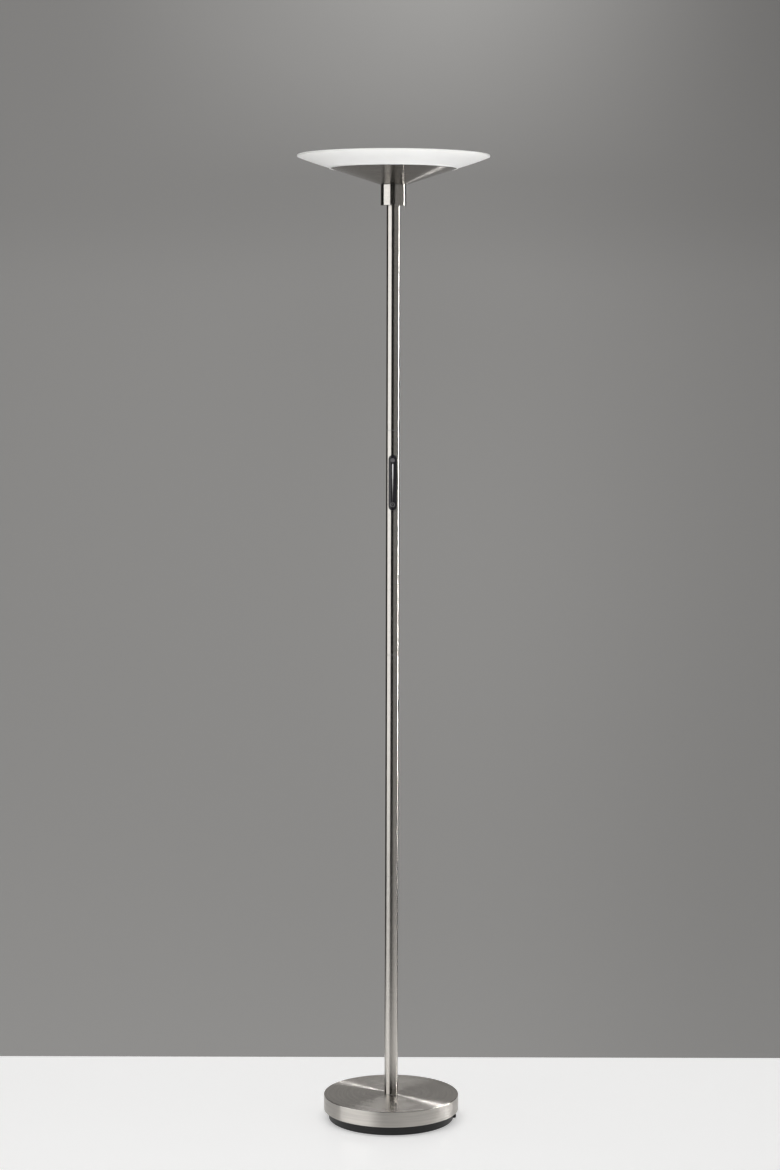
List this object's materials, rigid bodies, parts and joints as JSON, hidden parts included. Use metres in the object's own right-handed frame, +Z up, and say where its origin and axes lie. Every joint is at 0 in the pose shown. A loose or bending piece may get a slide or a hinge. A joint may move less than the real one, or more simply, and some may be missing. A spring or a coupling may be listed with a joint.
{
  "type": "torchiere floor lamp",
  "caption": "Tall floor lamp: round weighted base, slim screwed pole with a touch dimmer, and a shallow round up-light head with a lift-off lens.",
  "frame": {"origin": "centre of the underside, on the floor", "axes": "+Z up along the pole; -Y is the front, where the touch dimmer faces; +X is to the right seen from the front"},
  "size_m": [0.354, 0.354, 1.8035],
  "materials": {
    "brushed_nickel": "satin brushed round the axis",
    "opal_plastic": "opal satin",
    "lens_plastic": "frosted",
    "black_plastic": "satin moulded",
    "gloss_black": "gloss",
    "cast_iron": "as cast",
    "zinc_steel": "zinc plated",
    "bare_aluminium": "mill finish",
    "soft_rubber": "matt",
    "board_lacquer": "white solder mask",
    "cable_sheath": "smooth"
  },
  "bodies": {
    "stand": {"foot_pad_1": "soft_rubber", "foot_pad_2": "soft_rubber", "foot_pad_3": "soft_rubber", "foot_pad_4": "soft_rubber", "base_tray": "black_plastic", "base_ballast": "cast_iron", "base_cover": "brushed_nickel", "cord_gland": "soft_rubber", "tray_screw_1": "zinc_steel", "tray_screw_2": "zinc_steel", "tray_screw_3": "zinc_steel", "base_washer": "zinc_steel", "base_nut": "zinc_steel", "base_rod": "zinc_steel", "pole_tube_1": "brushed_nickel", "pole_tube_2": "brushed_nickel", "pole_tube_3": "brushed_nickel", "pole_tube_4": "brushed_nickel", "pole_coupler_1": "zinc_steel", "pole_coupler_2": "zinc_steel", "pole_coupler_3": "zinc_steel", "foot_plug": "zinc_steel", "head_plug": "zinc_steel", "dimmer_plate": "gloss_black", "dimmer_board": "board_lacquer", "dimmer_lead": "cable_sheath", "inner_cable": "cable_sheath", "neck_collar": "brushed_nickel", "neck_spacer": "zinc_steel", "neck_rod": "zinc_steel", "neck_washer": "zinc_steel", "neck_nut": "zinc_steel", "shade_cone": "brushed_nickel", "shade_bowl": "opal_plastic", "carrier_plate": "bare_aluminium", "led_board": "board_lacquer", "plate_pillar_1": "zinc_steel", "pillar_screw_1": "zinc_steel", "board_screw_1": "zinc_steel", "plate_pillar_2": "zinc_steel", "pillar_screw_2": "zinc_steel", "board_screw_2": "zinc_steel", "plate_pillar_3": "zinc_steel", "pillar_screw_3": "zinc_steel", "board_screw_3": "zinc_steel", "led_driver": "black_plastic", "led_lead": "cable_sheath", "board_connector": "black_plastic"},
    "lens": {"top_lens": "lens_plastic"}
  },
  "joints": [
    {"name": "lens_lift", "type": "slide", "parent": "stand", "child": "lens", "axis": [0, 0, 1], "range_m": [0, 0.1]}
  ]
}
